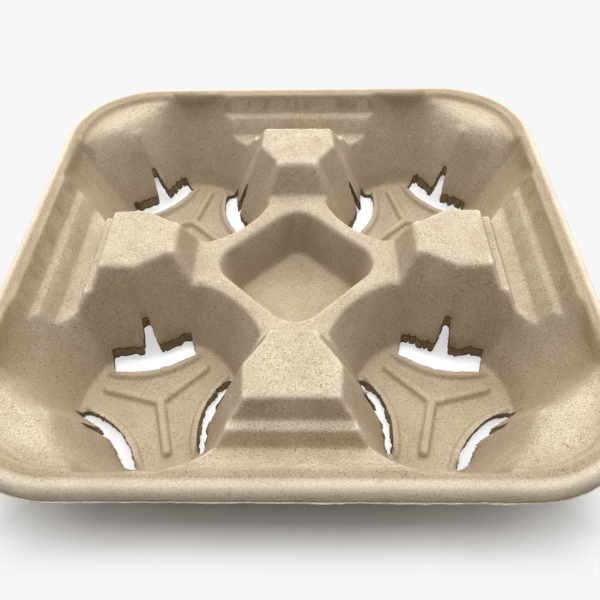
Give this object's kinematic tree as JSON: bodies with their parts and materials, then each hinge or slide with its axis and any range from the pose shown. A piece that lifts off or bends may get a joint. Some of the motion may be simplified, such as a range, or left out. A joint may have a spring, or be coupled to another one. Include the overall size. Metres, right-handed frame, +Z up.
{
  "type": "cardboard cup carrier",
  "caption": "Square moulded pulp tray that carries takeaway cups in flared wells around a middle pocket.",
  "frame": {"origin": "middle of the carrier, in the plane of the undersides of the well floors", "axes": "+Z up out of the wells, +X and +Y towards two of the four equal sides"},
  "size_m": [0.215, 0.215, 0.0438],
  "materials": {
    "pulp": "matt, felted fibre"
  },
  "bodies": {
    "root": {"cup_carrier": "pulp"}
  },
  "joints": []
}
